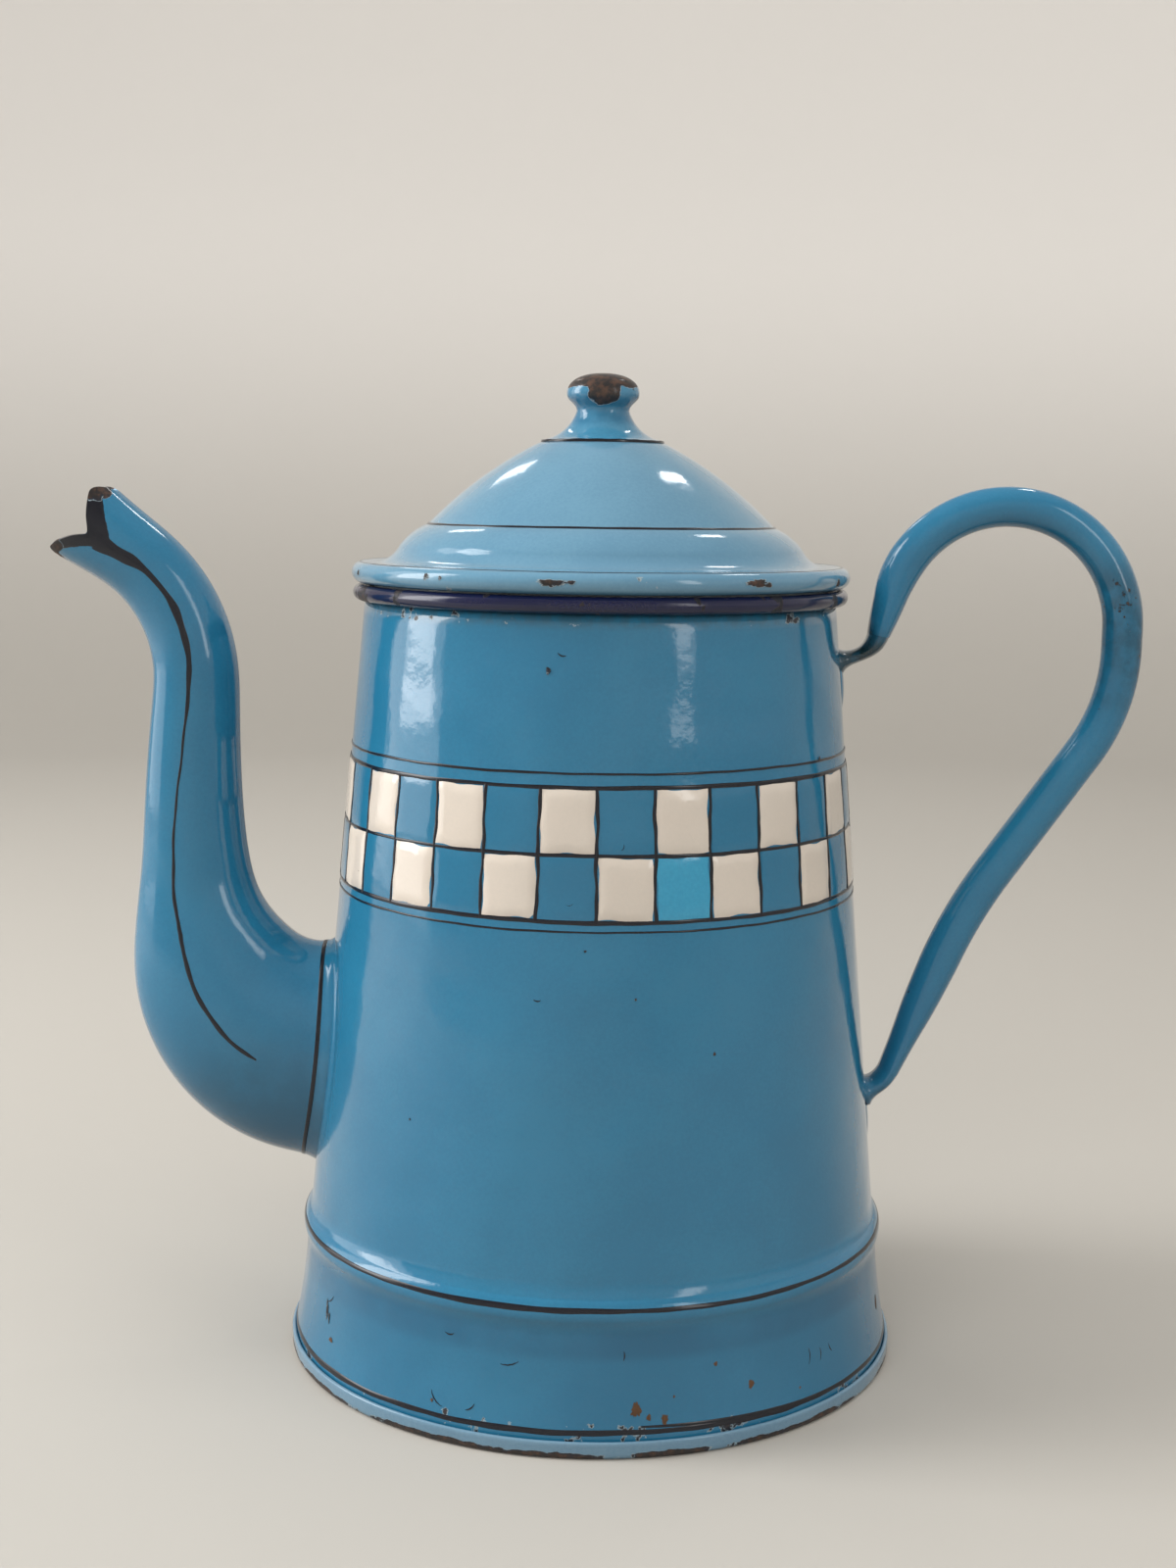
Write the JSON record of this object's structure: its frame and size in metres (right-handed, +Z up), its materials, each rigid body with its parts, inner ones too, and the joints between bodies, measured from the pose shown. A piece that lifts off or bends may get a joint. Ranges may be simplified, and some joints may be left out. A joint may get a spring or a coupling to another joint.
{
  "type": "enamelled gooseneck coffee pot",
  "caption": "Tapered enamelled steel coffee pot with a stepped foot, a curved gooseneck spout with a split beak, a looped tube handle and a domed lift-off lid with a knob.",
  "frame": {"origin": "on the table plane at the pot's axis, which is the middle of the footprint", "axes": "+Z up along the pot's axis, +X towards the handle, -X towards the spout, Y across"},
  "size_m": [0.2637, 0.15, 0.2386],
  "materials": {
    "body_enamel": "glossy mid blue vitreous enamel",
    "foot_enamel": "glossy pale blue vitreous enamel, chipped",
    "lid_enamel": "glossy light blue vitreous enamel",
    "collar_enamel": "glossy white ground enamel",
    "handle_enamel": "glossy mid blue vitreous enamel",
    "strap_enamel": "worn blue-black ground enamel"
  },
  "bodies": {
    "pot": {"body_shell": "body_enamel", "bottom_disc": "foot_enamel", "spout_near_half": "body_enamel", "spout_far_half": "body_enamel", "handle_tube": "handle_enamel", "handle_upper_strap": "strap_enamel", "handle_lower_strap": "strap_enamel"},
    "lid": {"lid_shell": "lid_enamel", "lid_collar": "collar_enamel", "lid_knob": "lid_enamel"}
  },
  "joints": [
    {"name": "lid_lift", "type": "slide", "parent": "pot", "child": "lid", "axis": [0, 0, 1], "range_m": [0, 0.09]}
  ]
}
